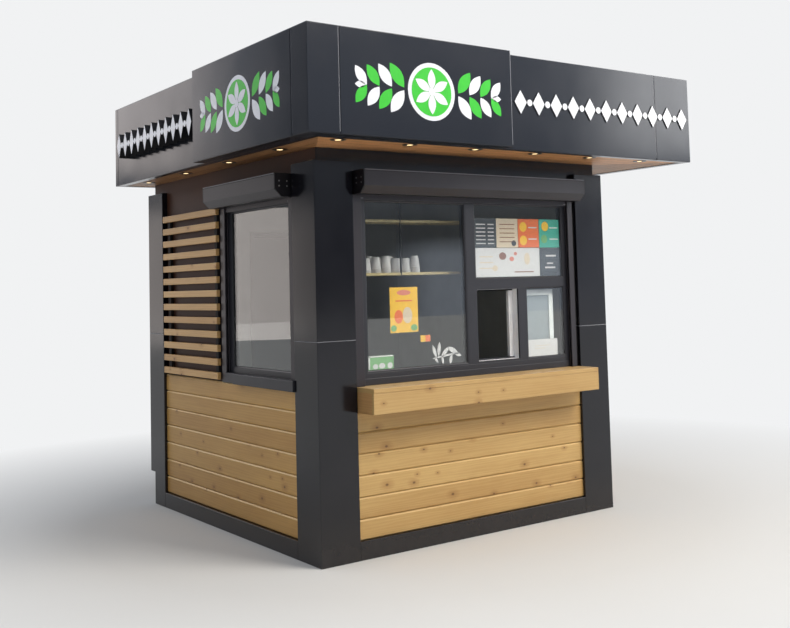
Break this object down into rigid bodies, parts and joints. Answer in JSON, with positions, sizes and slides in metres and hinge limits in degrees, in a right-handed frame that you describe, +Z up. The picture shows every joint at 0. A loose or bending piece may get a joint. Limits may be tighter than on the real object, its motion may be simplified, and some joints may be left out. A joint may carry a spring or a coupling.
{
  "type": "street kiosk",
  "caption": "Small walk-in street sales kiosk with black corner pylons, pine boards, serving hatch and counter, roller shutters and a deep flat-roof fascia.",
  "frame": {"origin": "on the ground, under the middle of the roof outline", "axes": "+Z up; the serving front faces -Y; +X runs to the right of someone facing the serving hatch"},
  "size_m": [3.367, 3.278, 3.176],
  "materials": {
    "black_panel": "glossy black composite cladding panel",
    "pine": "golden stained pine, satin varnish",
    "wall_panel": "pale grey coated sandwich panel",
    "floor_sheet": "dark grey floor sheet",
    "frame_coating": "anthracite powder coating on aluminium window profile",
    "window_glass": "clear double glazing",
    "shutter_coating": "dark graphite coating on roller shutter aluminium",
    "soffit_board": "brown wood-grain soffit lining, semi-gloss",
    "satin_metal": "satin nickel lamp rings and door hinges",
    "roof_membrane": "dark roofing membrane",
    "door_sheet": "black coated steel door",
    "shelf_board": "pale varnished shelf board on steel rods"
  },
  "bodies": {
    "root": {"plinth": "black_panel", "floor_panel": "floor_sheet", "pylon_front_left": "black_panel", "pylon_front_right": "black_panel", "pylon_rear_left": "black_panel", "pylon_rear_right": "black_panel", "front_wall": "wall_panel", "left_wall": "wall_panel", "right_wall": "wall_panel", "rear_wall": "wall_panel", "front_boards": "pine", "left_boards": "pine", "right_boards": "pine", "rear_boards": "pine", "front_header": "black_panel", "left_upper_panel": "black_panel", "right_upper_panel": "black_panel", "rear_upper_panel": "black_panel", "counter_top": "pine", "counter_front": "pine", "counter_ends": "pine", "counter_underside": "pine", "front_window_frame": "frame_coating", "front_window_glass": "window_glass", "sliding_sash": "frame_coating", "sliding_sash_glass": "window_glass", "left_window_frame": "frame_coating", "left_window_glass": "window_glass", "left_window_sill": "frame_coating", "front_shutter_box": "shutter_coating", "left_shutter_box": "shutter_coating", "shutter_end_caps": "shutter_coating", "shutter_guides": "shutter_coating", "shutter_bottom_bars": "shutter_coating", "slat_screen": "pine", "slat_bearers": "black_panel", "front_fascia": "black_panel", "left_fascia": "black_panel", "right_fascia": "black_panel", "rear_fascia": "black_panel", "corner_sign": "black_panel", "front_sign": "black_panel", "left_sign": "black_panel", "roof_deck": "roof_membrane", "soffit": "soffit_board", "soffit_lamps": "satin_metal", "rear_door_frame": "frame_coating", "rear_door": "door_sheet", "door_hinges": "satin_metal", "hanging_shelves": "shelf_board", "shelf_rods": "satin_metal"}
  },
  "joints": []
}
